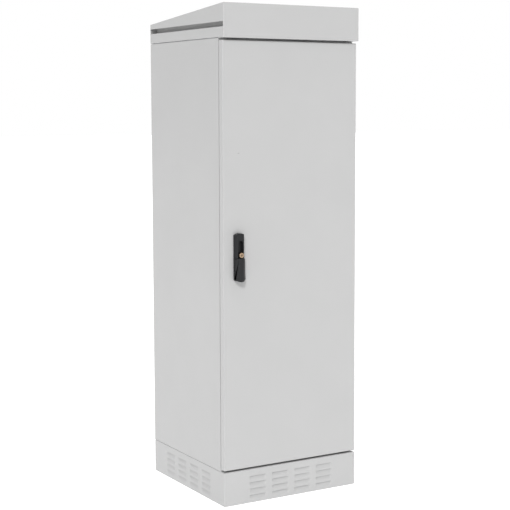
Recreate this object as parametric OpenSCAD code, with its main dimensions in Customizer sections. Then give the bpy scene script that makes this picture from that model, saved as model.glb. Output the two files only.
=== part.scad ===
// Roadside utility cabinet: louvred plinth, sheet-steel body with an overlapping door,
// sloping roof hood with side vent slots, nineteen-inch rack rails inside.
// Millimetres. The origin is the middle of the plinth's footprint on the ground,
// +Z is up, the door faces -Y and is hung on the +X side.

/* [Cabinet] */
// Width of the plinth and body
body_w = 600; // [580:10:900]
// Depth from the door's face to the rear panel
body_d = 600; // [500:10:900]
// Height of the fascia's top edge above the ground
roof_front_h = 1900; // [1500:10:2300]
// How much lower the roof is at the rear than at the front
roof_fall = 50; // [20:5:90]
// Thickness of the painted skin sheets
skin = 1.5; // [1:0.1:2]
// Thickness of the frame sections
frame_t = 2; // [1.5:0.1:2.5]
// Radius of the outer bends
bend_r = 3; // [2:0.5:5]

/* [Plinth] */
// Height of the plinth
plinth_h = 132; // [125:1:200]
// Width of the plinth's turned-in flanges
plinth_flange = 45; // [40:1:70]
// Radius of the anchor holes
anchor_r = 7; // [5:0.5:9]
// Distance of the anchor holes from the outside faces
anchor_inset = 25; // [22:1:35]
// Length of one louvre
louvre_l = 77; // [50:1:90]
// Distance between louvre columns
louvre_pitch_x = 101; // [95:1:130]
// Number of louvre columns on a face
louvre_columns = 4; // [1:1:5]
// Height of the pressed face of a louvre
louvre_h = 19; // [12:1:22]
// Distance between louvre rows
louvre_pitch_z = 25; // [23:1:30]
// Height of the lowest louvre's upper edge
louvre_low_z = 30; // [25:1:35]
// Number of louvre rows
louvre_rows = 4; // [1:1:4]
// Depth to which a louvre is pressed in
louvre_depth = 4.5; // [4:0.5:9]

/* [Roof] */
// Height of the fascia
fascia_h = 128; // [115:1:180]
// How far the fascia stands in front of the door
fascia_out = 14; // [5:1:60]
// How far the hood stands proud of the sides and rear
hood_out = 1; // [1:0.5:6]
// Height of the hood's band under the vent slots
band_h = 41; // [35:1:60]
// Gap between the hood's lower rim and the side and rear panels
rim_gap = 2; // [1:0.5:4]
// Height of the vent slots
slot_h = 18; // [8:1:20]
// Length of sheet left uncut at each end of a vent slot
slot_end = 4; // [4:1:60]
// Distance of the rain baffle behind the vent slot
baffle_in = 26; // [10:1:28]
// Distance of the deck's upturned edge from the side faces
gutter_w = 38; // [36:1:60]
// Height of the deck's upturned edge
gutter_h = 46; // [30:1:46]

/* [Door] */
// Depth of the door pan
door_d = 27; // [26:0.5:40]
// Gap between the closed door and the front frame
door_gap = 2; // [1.5:0.1:3]
// Gap over and under the door
door_clear = 8; // [5:1:12]
// Gap between the door's edge and the side faces
door_edge = 1; // [0.5:0.5:2]
// Width of the pan's turned-in lip
lip_w = 12; // [8:1:13]
// Width of the seal
seal_w = 12; // [8:1:12]
// Width of the front frame's sides
post_w = 32; // [32:1:45]
// Height of the front frame's lower member
sill_h = 44; // [40:1:80]
// Height of the front frame's upper member
head_h = 40; // [36:1:80]
// How far the front frame's sealing edge stands forward
seal_edge = 13; // [10:0.5:14]

/* [Hinges] */
// Radius of the hinge pins
pin_r = 2.5; // [2:0.1:2.6]
// Radial clearance of a pin in the frame leaf
pin_fit = 0.05; // [0.02:0.01:0.1]
// Height of the frame leaf's eye
eye_h = 20; // [14:1:30]
// Height of each lug of the door leaf
lug_h = 14; // [8:1:20]
// Distance of the hinge axis from the door's edge
hinge_inset = 6; // [5.5:0.1:6.5]
// Distance of the hinge axis from the door's rear
hinge_depth = 13; // [13:0.5:14]
// Distance of the outer hinges from the door's ends
hinge_end = 150; // [100:5:300]

/* [Handle] */
// Width of the handle housing
handle_w = 42; // [38:1:46]
// Length of the handle housing
handle_l = 183; // [180:1:220]
// Rise of the housing's rounded ends
handle_dome = 7; // [4:0.5:10]
// Height of the handle's middle above the ground
handle_z = 955.5; // [700:0.5:1200]
// Distance of the handle's middle from the side face
handle_inset = 65; // [60:1:90]
// Thickness of the housing's base
base_t = 8; // [6:0.5:9]
// How far the upper half stands out
upper_out = 20; // [16:0.5:24]
// How far the lever and the lock stand out
lever_out = 28; // [25:0.5:32]
// Width of the recess round the lock
recess_w = 20.5; // [20.5:0.1:22]
// Radius of the lock's round head
lock_r = 9.5; // [8:0.1:9.8]
// Distance of the spindle from the housing's lower end
spindle_up = 21; // [19:0.5:24]
// Radius of the spindle's journal
spindle_r = 8; // [7:0.5:9]
// Running clearance of the handle's turning pieces
turn_fit = 0.05; // [0.03:0.01:0.1]
// Travel of each locking rod
rod_travel = 20; // [16:1:22]
// Radius of the locking rods
rod_r = 4; // [3:0.5:4.5]

/* [Rack] */
// Number of rack units
rack_units = 33; // [20:1:42]
// Height of the lowest rack unit above the floor plate
rack_low = 75; // [70:1:120]
// Distance of the front rails from the front frame
rail_front = 90; // [60:5:140]
// Distance of the rear rails from the rear panel
rail_rear = 90; // [60:5:140]
// Depth of a rail's web
rail_web = 35; // [30:1:50]
// Height of a brace
brace_h = 40; // [34:1:60]

/* [Hidden] */
$fn = 48;

// Overlap of a cutting tool past the surface it cuts
cut = 1;

// Heights
eaves_z = roof_front_h - fascia_h;
door_low = plinth_h + door_clear;
door_top = eaves_z - door_clear;
panel_low = plinth_h;
frame_low = panel_low + skin;
frame_top = eaves_z - skin;
floor_z = frame_low + 2 * frame_t;
opening_low = plinth_h + sill_h;
opening_top = eaves_z - head_h;

// Plan
half_w = body_w / 2;
front_y = -body_d / 2;
rear_y = body_d / 2;
door_rear = front_y + door_d;
frame_y = door_rear + door_gap;
panel_in = half_w - skin;
post_in = panel_in - frame_t;
rear_in = rear_y - skin - frame_t;
opening_x = panel_in - post_w;
post_d = 30;
rear_post = 40;
ring_h = 40;
ring_flange = 34;
bolt_in = half_w - 18;
bolt_front = frame_y + frame_t + 18;
bolt_rear = rear_y - 20;
m8_r = 4;
m6_r = 3;
m5_r = 2.5;

// Hinges
hinge_x = half_w - door_edge - hinge_inset;
hinge_y = door_rear - hinge_depth;
knuckle_r = pin_r + 2;
hinge_gap = 0.3;
leaf_h = eye_h + 2 * (lug_h + hinge_gap);
notch_h = leaf_h + 8;
leaf_plate = 3;
hinge_z = [
    door_low + hinge_end,
    (door_low + door_top) / 2,
    door_top - hinge_end
];

// Handle
handle_x = -half_w + handle_inset;
handle_low = handle_z - handle_l / 2;
handle_top = handle_z + handle_l / 2;
spindle_z = handle_low + spindle_up;
lever_short = 1.5;
lever_reach = handle_l / 2 - spindle_up - lever_short;
lever_gap = 1;
lock_gap = 1;
lock_z = spindle_z + lever_reach + lever_gap + lock_r + lock_gap;
recess_end = 27;
recess_top = handle_top - recess_end;
shoulder_upper = 8;
shoulder_lever = 16;
facet_upper = 7;
facet_lever = 12;
flat_upper = handle_w - 2 * facet_upper;
flat_lever = handle_w - 2 * facet_lever;
recess_depth = 14;
seal_t = 0.8;
base_clear = 0.3;
pivot_r = 2;
pivot_out = base_t + 7;
tab_t = 6;
tilt_relief = 27;
plate_t = 3;
plate_y = front_y + skin;
lock_plug_r = 5.5;
lock_back = plate_y + plate_t;
cam_y = plate_y + plate_t + 1;
cam_t = 3;
crank_r = rod_travel / sqrt(2);
crank_pin_r = 2.5;
yoke_y = cam_y + cam_t + 0.5;
yoke_t = 3;
yoke_play = 0.7;
rod_x = crank_r * 0.85;
rod_y = cam_y + cam_t + 0.4 + rod_r;
rod_fit = 0.08;
shaft_half = 4;
screw_z = [handle_low + 50, handle_top - 14];

// Rod ends and keepers
keeper_arm = 4;
keeper_catch = 3;
catch_len = 18;
arm_top = opening_top - skin - 7.5;
arm_low = opening_low + skin + 7.5;
rod_end_gap = 0.5;
rod_end_top = arm_top - catch_len - rod_end_gap;
rod_end_low = arm_low + catch_len + rod_end_gap;
catch_gap = 1;
keeper_w = 26;

// Rack
rack_pitch = 44.45;
rack_hole = 9.5;
rack_hole_x = 465.1 / 2;
rail_in = 222.5;
rail_out = 254;
rack_z = floor_z + rack_low;
rack_h = rack_units * rack_pitch;
rail_end = 20;
rail_z = rack_z - rail_end;
rail_len = rack_h + 2 * rail_end;
rail_front_y = frame_y + rail_front;
rail_rear_y = rear_y - rail_rear;
brace_low_z = rail_z + 30;
brace_top_z = rail_z + rail_len - 30 - brace_h;
brace_y0 = frame_y + frame_t;
brace_y1 = rear_in;

// Earth bar
earth_x = 90;
earth_y = rear_y - 120;
earth_z = floor_z + 22;

// Floor and cable entry
gland_w = 440;
gland_d = 240;
gland_rim = 30;
gland_gap = 20;
gland_y = earth_y - gland_gap - gland_d / 2;
entry_w = 300;
entry_d = 60;
entry_r = 12;
grommet_t = 3;

// Roof
hood_x = half_w + hood_out;
hood_front = front_y - fascia_out;
hood_rear = rear_y + hood_out;
rear_h = roof_front_h - roof_fall;
slot_low = eaves_z + band_h;
deck_z = eaves_z;
deck_top = deck_z + skin;
bracket_l = 40;
bracket_h = 30;
bracket_t = 3;
bracket_y = [frame_y + 60, rear_y - 60];

// Colours
paint = [0.82, 0.83, 0.82];
zinc = [0.72, 0.74, 0.76];
black = [0.1, 0.1, 0.11];
brass = [0.83, 0.66, 0.36];
rubber = [0.16, 0.16, 0.17];
copper = [0.78, 0.48, 0.32];

// ---------- shared shapes ----------

// Rectangle with four round corners, centred
module round_rect(w, d, r) {
    square([w - 2 * r, d], center = true);
    square([w, d - 2 * r], center = true);
    for (sx = [-1, 1], sy = [-1, 1])
        translate([sx * (w / 2 - r), sy * (d / 2 - r)]) circle(r);
}

// Box given by its two corners
module block(lo, hi) {
    translate(lo) cube(hi - lo);
}

// Box given for the right side, mirrored to the left when side is -1
module side_block(side, lo, hi) {
    mirror([side < 0 ? 1 : 0, 0, 0]) block(lo, hi);
}

// Cylinder that runs along +Y from y0 to y1
module bar_y(x, z, y0, y1, r) {
    translate([x, y0, z]) rotate([-90, 0, 0]) cylinder(h = y1 - y0, r = r);
}

// Shape drawn in the XZ plane, given thickness from y0 to y1
module plate_xz(y0, y1) {
    translate([0, y1, 0]) rotate([90, 0, 0]) linear_extrude(y1 - y0) children();
}

// Shape drawn in the YZ plane, given thickness from x0 to x1
module plate_yz(x0, x1) {
    translate([x0, 0, 0]) rotate([90, 0, 90]) linear_extrude(x1 - x0) children();
}

// Hexagon-headed screw with its tip down
module hex_screw(r, length, head_h) {
    translate([0, 0, -length]) cylinder(h = length + head_h / 2, r = r);
    cylinder(h = head_h, r = r * 1.9, $fn = 6);
}

// Round-headed screw with its tip down
module pan_screw(r, length, head_h) {
    translate([0, 0, -length]) cylinder(h = length + head_h / 2, r = r);
    cylinder(h = head_h, r = r * 1.8);
}

// ---------- plinth ----------

// One pressed-in louvre on a wall whose outside is y = 0, upper edge at z = 0
module louvre_blade() {
    plate_yz(-louvre_l / 2 - skin, louvre_l / 2 + skin)
        polygon([[0, -louvre_h], [louvre_depth, 0], [louvre_depth + skin, 0], [skin, -louvre_h]]);
    for (s = [-1, 1])
        translate([s * (louvre_l + skin) / 2, 0, 0])
            plate_yz(-skin / 2, skin / 2)
                polygon([[skin / 2, -louvre_h], [louvre_depth + skin, 0], [skin / 2, 0]]);
}

// Places a shape at every louvre of one face
module louvre_grid() {
    for (c = [0 : louvre_columns - 1], r = [0 : louvre_rows - 1])
        translate([
            (c - (louvre_columns - 1) / 2) * louvre_pitch_x,
            0,
            louvre_low_z + r * louvre_pitch_z
        ]) children();
}

// Places a shape on all four walls of the plinth
module plinth_faces() {
    for (a = [0, 180]) rotate([0, 0, a]) translate([0, front_y, 0]) children();
    for (a = [90, 270]) rotate([0, 0, a]) translate([0, -half_w, 0]) children();
}

module plinth() {
    color(paint) {
        difference() {
            linear_extrude(plinth_h) round_rect(body_w, body_d, bend_r);
            translate([0, 0, frame_t]) linear_extrude(plinth_h - 2 * frame_t)
                square([body_w - 2 * skin, body_d - 2 * skin], center = true);
            translate([0, 0, -cut]) linear_extrude(plinth_h + 2 * cut)
                square([body_w - 2 * plinth_flange, body_d - 2 * plinth_flange], center = true);
            for (sx = [-1, 1], sy = [-1, 1])
                translate([sx * (half_w - anchor_inset), sy * (rear_y - anchor_inset), -cut])
                    cylinder(h = frame_t + 2 * cut, r = anchor_r);
            for (sx = [-1, 1], y = [bolt_front, bolt_rear])
                translate([sx * bolt_in, y, plinth_h - frame_t - cut])
                    cylinder(h = frame_t + 2 * cut, r = m8_r);
            plinth_faces() louvre_grid()
                block([-louvre_l / 2, -cut, -louvre_h], [louvre_l / 2, skin + 0.1, 0]);
        }
        plinth_faces() louvre_grid() louvre_blade();
    }
}

module plinth_bolts() {
    color(zinc)
        for (sx = [-1, 1], y = [bolt_front, bolt_rear])
            translate([sx * bolt_in, y, frame_low + frame_t]) hex_screw(m8_r, 20, 5);
}

// ---------- body frame and skins ----------

// Ring of angle section inside the posts, flange turned in at z = flange_z
module frame_ring(z0, flange_z) {
    y0 = frame_y + frame_t;
    difference() {
        block([-post_in, y0, z0], [post_in, rear_in, z0 + ring_h]);
        block(
            [-post_in + frame_t, y0 + frame_t, z0 - cut],
            [post_in - frame_t, rear_in - frame_t, z0 + ring_h + cut]
        );
    }
    difference() {
        block([-post_in, y0, flange_z], [post_in, rear_in, flange_z + frame_t]);
        block(
            [-post_in + ring_flange, y0 + ring_flange, flange_z - cut],
            [post_in - ring_flange, rear_in - ring_flange, flange_z + frame_t + cut]
        );
    }
}

module base_frame() {
    color(zinc) difference() {
        frame_ring(frame_low, frame_low);
        for (sx = [-1, 1], y = [bolt_front, bolt_rear])
            translate([sx * bolt_in, y, frame_low - cut])
                cylinder(h = frame_t + 2 * cut, r = m8_r);
    }
}

module top_frame() {
    color(zinc) difference() {
        frame_ring(frame_top - ring_h, frame_top - frame_t);
        roof_bolt_holes(frame_top - frame_t);
    }
}

module roof_bolt_holes(z) {
    for (sx = [-1, 1], y = bracket_y)
        translate([sx * bolt_in, y, z - cut]) cylinder(h = frame_t + 2 * cut, r = m6_r);
}

module front_frame() {
    color(paint) {
        difference() {
            block([-panel_in, frame_y, frame_low], [panel_in, frame_y + frame_t, frame_top]);
            block(
                [-opening_x, frame_y - cut, opening_low],
                [opening_x, frame_y + frame_t + cut, opening_top]
            );
        }
        difference() {
            block(
                [-opening_x, frame_y - seal_edge, opening_low],
                [opening_x, frame_y + frame_t, opening_top]
            );
            block(
                [-opening_x + skin, frame_y - seal_edge - cut, opening_low + skin],
                [opening_x - skin, frame_y + frame_t + cut, opening_top - skin]
            );
        }
        for (side = [-1, 1])
            side_block(side, [post_in, frame_y, frame_low], [panel_in, frame_y + post_d, frame_top]);
    }
}

module rear_post(side) {
    color(zinc) {
        side_block(side, [post_in, rear_y - skin - rear_post, frame_low],
            [panel_in, rear_y - skin, frame_top]);
        side_block(side, [panel_in - rear_post, rear_in, frame_low],
            [panel_in, rear_y - skin, frame_top]);
    }
}

// Flat side with its upper and lower edges turned in
module side_panel(side) {
    turn_in = 28;
    color(paint) difference() {
        union() {
            side_block(side, [panel_in, frame_y, panel_low], [half_w, rear_y, eaves_z]);
            side_block(side, [half_w - turn_in, frame_y, panel_low],
                [half_w, rear_y - skin, frame_low]);
            side_block(side, [half_w - turn_in, frame_y, frame_top],
                [half_w, rear_y - skin, eaves_z]);
        }
        for (y = [bolt_front, bolt_rear])
            translate([side * bolt_in, y, panel_low - cut])
                cylinder(h = skin + 2 * cut, r = m8_r);
        for (y = bracket_y)
            translate([side * bolt_in, y, frame_top - cut]) cylinder(h = skin + 2 * cut, r = m6_r);
    }
}

module rear_panel() {
    color(paint) block([-panel_in, rear_y - skin, panel_low], [panel_in, rear_y, eaves_z]);
}

// ---------- floor ----------

module floor_plate() {
    y0 = frame_y + 2 * frame_t;
    y1 = rear_in - frame_t;
    z0 = frame_low + frame_t;
    color(zinc) difference() {
        block([-post_in + frame_t, y0, z0], [post_in - frame_t, y1, floor_z]);
        block(
            [-gland_w / 2 + gland_rim, gland_y - gland_d / 2 + gland_rim, z0 - cut],
            [gland_w / 2 - gland_rim, gland_y + gland_d / 2 - gland_rim, floor_z + cut]
        );
        gland_holes(z0);
        for (sx = [-1, 1], y = [bolt_front, bolt_rear])
            translate([sx * bolt_in, y, z0 - cut]) cylinder(h = frame_t + 2 * cut, r = m8_r * 2);
    }
}

// Places a shape at each fixing of the gland plate
module gland_fixings() {
    for (sx = [-1, 1], sy = [-1, 1])
        translate([
            sx * (gland_w - gland_rim) / 2,
            gland_y + sy * (gland_d - gland_rim) / 2,
            0
        ]) children();
}

module gland_holes(z) {
    gland_fixings() translate([0, 0, z - cut]) cylinder(h = frame_t + 2 * cut, r = m5_r);
}

module gland_plate() {
    color(zinc) difference() {
        block(
            [-gland_w / 2, gland_y - gland_d / 2, floor_z],
            [gland_w / 2, gland_y + gland_d / 2, floor_z + frame_t]
        );
        translate([0, gland_y, floor_z - cut]) linear_extrude(frame_t + 2 * cut)
            round_rect(entry_w, entry_d, entry_r);
        gland_holes(floor_z);
    }
}

module gland_screws() {
    color(zinc)
        gland_fixings() translate([0, 0, floor_z + frame_t]) pan_screw(m5_r, 10, 3);
}

// Rubber edging round the cable entry, gripping the plate's edge
module cable_grommet() {
    lip = 3;
    color(rubber) translate([0, gland_y, 0]) difference() {
        union() {
            translate([0, 0, floor_z + frame_t]) linear_extrude(grommet_t)
                round_rect(entry_w + 2 * lip, entry_d + 2 * lip, entry_r + lip);
            translate([0, 0, floor_z - grommet_t]) linear_extrude(2 * grommet_t + frame_t)
                round_rect(entry_w, entry_d, entry_r);
            translate([0, 0, floor_z - grommet_t]) linear_extrude(grommet_t)
                round_rect(entry_w + 2 * lip, entry_d + 2 * lip, entry_r + lip);
        }
        translate([0, 0, floor_z - grommet_t - cut])
            linear_extrude(2 * grommet_t + frame_t + 2 * cut)
                round_rect(entry_w - 2 * lip, entry_d - 2 * lip, entry_r - lip);
    }
}

// ---------- roof ----------

// Deck over the body with an upturned edge and vents under the hood
module roof_deck() {
    x1 = half_w - gutter_w;
    y0 = frame_y + 8;
    y1 = rear_y - gutter_w;
    y2 = rear_y - 6;
    vent_l = 70;
    vent_w = 8;
    vent_pitch = 24;
    color(zinc) difference() {
        union() {
            block([-half_w + 5, y0, deck_z], [half_w - 5, y2, deck_top]);
            difference() {
                block([-x1, y0 + gutter_w, deck_z], [x1, y1, deck_z + gutter_h]);
                block(
                    [-x1 + skin, y0 + gutter_w + skin, deck_z - cut],
                    [x1 - skin, y1 - skin, deck_z + gutter_h + cut]
                );
            }
        }
        for (sx = [-1, 1], i = [-4 : 4])
            translate([sx * 120, i * vent_pitch, deck_z + skin / 2])
                cube([vent_l, vent_w, 3 * skin], center = true);
        roof_bolt_holes(deck_z);
    }
}

// Angle pieces that carry the hood, two on each side
module roof_brackets() {
    x0 = half_w - 30;
    x1 = hood_x - skin;
    color(zinc) difference() {
        for (side = [-1, 1], y = bracket_y) {
            side_block(side, [x0, y - bracket_l / 2, deck_top],
                [x1, y + bracket_l / 2, deck_top + bracket_t]);
            side_block(side, [x1 - bracket_t, y - bracket_l / 2, deck_top],
                [x1, y + bracket_l / 2, deck_top + bracket_h]);
        }
        for (sx = [-1, 1], y = bracket_y)
            translate([sx * bolt_in, y, deck_top - cut])
                cylinder(h = bracket_t + 2 * cut, r = m6_r);
    }
}

// Bolts that pull the roof brackets down from inside
module roof_bolts() {
    grip = frame_t + 2 * skin + bracket_t;
    color(zinc)
        for (sx = [-1, 1], y = bracket_y)
            translate([sx * bolt_in, y, frame_top - frame_t]) rotate([180, 0, 0])
                hex_screw(m6_r, grip + 5, 4);
}

// Side outline of the hood between two heights over the eaves
module hood_outline(inset) {
    polygon([
        [hood_front + inset, eaves_z],
        [hood_rear - inset, eaves_z],
        [hood_rear - inset, rear_h - inset],
        [hood_front + inset, roof_front_h - inset]
    ]);
}

// One folded and welded sheet: top, fascia, sides, rear and a soffit over the door
// Section of the sheet folded inwards under the right vent slot and up behind it
module baffle_section() {
    rise = slot_h + 6;
    back = hood_x - baffle_in;
    difference() {
        union() {
            translate([hood_x - bend_r, slot_low - bend_r]) circle(bend_r);
            translate([back - skin, slot_low - skin])
                square([baffle_in + skin - bend_r, skin]);
        }
        translate([hood_x - bend_r, slot_low - bend_r]) circle(bend_r - skin);
        translate([back - cut, slot_low - 2 * bend_r - cut])
            square([baffle_in - bend_r + cut, 2 * bend_r + cut - skin]);
        translate([back, slot_low - 2 * bend_r - cut])
            square([baffle_in - skin, bend_r + cut]);
    }
    translate([back - skin, slot_low - skin]) square([skin, rise + skin]);
}

// Rain baffle of the right side, held by the uncut wall at both ends of the slot
module slot_baffle() {
    plate_xz(hood_front + bend_r, hood_rear - bend_r) baffle_section();
}

module roof_hood() {
    color(paint) {
        vented_shell();
        for (side = [-1, 1]) mirror([side < 0 ? 1 : 0, 0, 0]) slot_baffle();
    }
}

// Hood without its baffles, open below and cut for the vent slots
module vented_shell() {
    difference() {
        intersection() {
            plate_yz(-hood_x, hood_x) hood_outline(0);
            translate([0, (hood_front + hood_rear) / 2, eaves_z - cut])
                linear_extrude(fascia_h + 2 * cut)
                    round_rect(2 * hood_x, hood_rear - hood_front, bend_r);
        }
        difference() {
            plate_yz(-hood_x + skin, hood_x - skin) hood_outline(skin);
            block(
                [-hood_x, hood_front, eaves_z],
                [hood_x, frame_y, eaves_z + skin]
            );
        }
        block(
            [-hood_x + skin, frame_y, eaves_z - cut],
            [hood_x - skin, hood_rear - skin, eaves_z + skin + cut]
        );
        block(
            [-hood_x - cut, frame_y, eaves_z - cut],
            [hood_x + cut, hood_rear + cut, eaves_z + rim_gap]
        );
        for (side = [-1, 1])
            side_block(side, [hood_x - 2 * skin, hood_front + slot_end, slot_low - bend_r],
                [hood_x + cut, hood_rear - slot_end, slot_low + slot_h]);
    }
}

// ---------- rack ----------

// Channel between the front frame and a rear post, open to the side panel
module brace(side, z0) {
    color(zinc) difference() {
        side_block(side, [rail_out, brace_y0, z0], [post_in, brace_y1, z0 + brace_h]);
        side_block(side, [rail_out + frame_t, brace_y0 - cut, z0 + frame_t],
            [post_in + cut, brace_y1 + cut, z0 + brace_h - frame_t]);
        rack_joints() rack_hole_x_axis();
    }
}

// Mounting rail with three square holes in each rack unit; ahead is 1 or -1
module rail(side, y, ahead) {
    web_a = ahead > 0 ? y : y - rail_web;
    color(zinc) difference() {
        union() {
            mirror([side < 0 ? 1 : 0, 0, 0]) plate_xz(y - frame_t * (ahead < 0 ? 1 : 0),
                y + frame_t * (ahead > 0 ? 1 : 0))
                difference() {
                    translate([rail_in, rail_z]) square([rail_out - rail_in, rail_len]);
                    for (u = [0 : rack_units - 1], h = [6.35, 22.225, 38.1])
                        translate([rack_hole_x, rack_z + u * rack_pitch + h])
                            square(rack_hole, center = true);
                }
            side_block(side, [rail_out - frame_t, web_a, rail_z],
                [rail_out, web_a + rail_web, rail_z + rail_len]);
        }
        rack_joints() rack_hole_x_axis();
    }
}

// Places a shape at every screw between a rail and a brace
module rack_joints() {
    for (sx = [-1, 1], z = [brace_low_z, brace_top_z], dz = [12, brace_h - 12],
        y = [rail_front_y + 20, rail_rear_y - 20])
        translate([0, y, z + dz]) mirror([sx < 0 ? 1 : 0, 0, 0]) children();
}

module rack_hole_x_axis() {
    translate([rail_out - frame_t - cut, 0, 0]) rotate([0, 90, 0])
        cylinder(h = 2 * frame_t + 2 * cut, r = m6_r);
}

module rack_screws() {
    color(zinc)
        rack_joints() translate([rail_out - frame_t, 0, 0]) rotate([0, -90, 0])
            hex_screw(m6_r, 10, 4);
}

// ---------- earthing ----------

// Copper bar on two turned-down feet, screwed to the floor
module earth_bar() {
    foot = 16;
    color(copper) difference() {
        union() {
            block([-earth_x, earth_y - 12, earth_z], [earth_x, earth_y + 13, earth_z + 5]);
            for (s = [-1, 1]) {
                translate([s * (earth_x - 2.5), earth_y + 0.5, (earth_z + floor_z) / 2])
                    cube([5, 25, earth_z - floor_z], center = true);
                translate([s * (earth_x + foot / 2), earth_y + 0.5, floor_z + 2.5])
                    cube([foot + 5, 25, 5], center = true);
            }
        }
        for (s = [-1, 1])
            translate([s * (earth_x + foot / 2), earth_y, floor_z - cut])
                cylinder(h = 7, r = m5_r);
        for (i = [-3 : 3])
            translate([i * 22, earth_y, earth_z - cut]) cylinder(h = 7, r = m6_r);
    }
}

module earth_screws() {
    color(zinc) {
        for (s = [-1, 1])
            translate([s * (earth_x + 8), earth_y, floor_z + 5]) pan_screw(m5_r, 5, 3);
        for (i = [-3 : 3])
            translate([i * 22, earth_y, earth_z + 5]) hex_screw(m6_r, 12, 4);
    }
}

// ---------- keepers ----------

// Hook over a rod's end, welded under the frame's sealing edge
module keeper(rod, base_z, arm_z, up) {
    x0 = handle_x + rod - keeper_w / 2;
    front = rod_y - rod_r - catch_gap - keeper_catch;
    back = frame_y + frame_t + 6;
    color(zinc) {
        block(
            [x0, frame_y - 6, min(base_z, base_z - up * 3)],
            [x0 + keeper_w, back, max(base_z, base_z - up * 3)]
        );
        block(
            [x0, frame_y - 4, min(base_z, arm_z - up * keeper_arm)],
            [x0 + keeper_w, frame_y, max(base_z, arm_z - up * keeper_arm)]
        );
        block(
            [x0, front, min(arm_z, arm_z - up * keeper_arm)],
            [x0 + keeper_w, frame_y, max(arm_z, arm_z - up * keeper_arm)]
        );
        block(
            [x0, front, min(arm_z, arm_z - up * catch_len)],
            [x0 + keeper_w, front + keeper_catch, max(arm_z, arm_z - up * catch_len)]
        );
    }
}

// ---------- hinges ----------

// Frame leaf: eye round the pin, arm and screw plate on the front frame
module hinge_leaf(z) {
    plate_x0 = opening_x + 4.5;
    plate_x1 = hinge_x + 3;
    color(zinc) difference() {
        union() {
            translate([hinge_x, hinge_y, z - eye_h / 2]) cylinder(h = eye_h, r = knuckle_r);
            block(
                [hinge_x - 3, hinge_y, z - eye_h / 2],
                [hinge_x + 3, frame_y, z + eye_h / 2]
            );
            block(
                [plate_x0, frame_y - leaf_plate, z - leaf_h / 2],
                [plate_x1, frame_y, z + leaf_h / 2]
            );
        }
        translate([hinge_x, hinge_y, z - eye_h]) cylinder(h = 2 * eye_h, r = pin_r + pin_fit);
    }
}

// Door leaf: two lugs on a plate welded inside the pan
module door_leaf(z) {
    plate_x0 = opening_x + seal_w / 2 + 1.5;
    inner_y = front_y + skin;
    color(zinc) difference() {
        union() {
            block(
                [plate_x0, inner_y, z - leaf_h / 2],
                [hinge_x + 3, inner_y + leaf_plate, z + leaf_h / 2]
            );
            for (s = [-1, 1])
                translate([0, 0, z + s * (leaf_h - lug_h) / 2 - lug_h / 2]) {
                    translate([hinge_x, hinge_y, 0]) cylinder(h = lug_h, r = knuckle_r);
                    block([hinge_x - knuckle_r, inner_y, 0], [hinge_x + 3, hinge_y, lug_h]);
                }
        }
        translate([hinge_x, hinge_y, z - leaf_h]) cylinder(h = 2 * leaf_h, r = pin_r);
    }
}

module hinge_pin(z) {
    head = 2;
    color(zinc) translate([hinge_x, hinge_y, z - leaf_h / 2 - head]) {
        cylinder(h = leaf_h + head, r = pin_r);
        translate([0, 0, leaf_h + head]) cylinder(h = head, r = pin_r + 1.5);
    }
}

// ---------- door ----------

module door_panel() {
    x1 = half_w - door_edge;
    w = 2 * x1;
    h = door_top - door_low;
    notch_y = front_y + 6;
    color(paint) difference() {
        block([-x1, front_y, door_low], [x1, door_rear, door_top]);
        block(
            [-x1 + skin, front_y + skin, door_low + skin],
            [x1 - skin, door_rear - skin, door_top - skin]
        );
        block(
            [-x1 + lip_w, front_y + door_d / 2, door_low + lip_w],
            [x1 - lip_w, door_rear + cut, door_top - lip_w]
        );
        for (z = hinge_z)
            block(
                [x1 - lip_w - cut, notch_y, z - notch_h / 2],
                [x1 + cut, door_rear + cut, z + notch_h / 2]
            );
        bar_y(handle_x, spindle_z, front_y - cut, front_y + skin + cut, spindle_r + 1);
        bar_y(handle_x, lock_z, front_y - cut, front_y + skin + cut, lock_r);
        for (z = screw_z)
            bar_y(handle_x, z, front_y - cut, front_y + skin + cut, m5_r);
    }
}

// Hat section welded inside the door
module door_stiffener(x) {
    z0 = opening_low + 60;
    z1 = opening_top - 60;
    hat_w = 30;
    hat_h = 18;
    wing = 10;
    y0 = front_y + skin;
    color(paint) translate([x, 0, 0]) difference() {
        union() {
            block([-hat_w / 2, y0, z0], [hat_w / 2, y0 + hat_h, z1]);
            block([-hat_w / 2 - wing, y0, z0], [hat_w / 2 + wing, y0 + skin, z1]);
        }
        block(
            [-hat_w / 2 + skin, y0 - cut, z0 - cut],
            [hat_w / 2 - skin, y0 + hat_h - skin, z1 + cut]
        );
    }
}

// Foam seal that the front frame's edge presses into
module door_seal() {
    y0 = front_y + skin;
    y1 = frame_y - seal_edge - 0.3;
    color(rubber) difference() {
        block(
            [-opening_x - seal_w / 2, y0, opening_low - seal_w / 2],
            [opening_x + seal_w / 2, y1, opening_top + seal_w / 2]
        );
        block(
            [-opening_x + seal_w / 2, y0 - cut, opening_low + seal_w / 2],
            [opening_x - seal_w / 2, y1 + cut, opening_top - seal_w / 2]
        );
    }
}

// Brackets with bores in which the locking rods slide
module rod_guides() {
    y0 = front_y + skin;
    guide_h = 14;
    guide_w = 22;
    color(zinc)
        for (g = [
            [rod_x, rod_end_top - 60],
            [rod_x, handle_top + 20],
            [-rod_x, handle_low - 20 - guide_h],
            [-rod_x, rod_end_low + 60 - guide_h]
        ])
            difference() {
                block(
                    [handle_x + g[0] - guide_w / 2, y0, g[1]],
                    [handle_x + g[0] + guide_w / 2, rod_y + rod_r + 3, g[1] + guide_h]
                );
                translate([handle_x + g[0], rod_y, g[1] - cut])
                    cylinder(h = guide_h + 2 * cut, r = rod_r + rod_fit);
            }
}

// ---------- handle ----------

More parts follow.
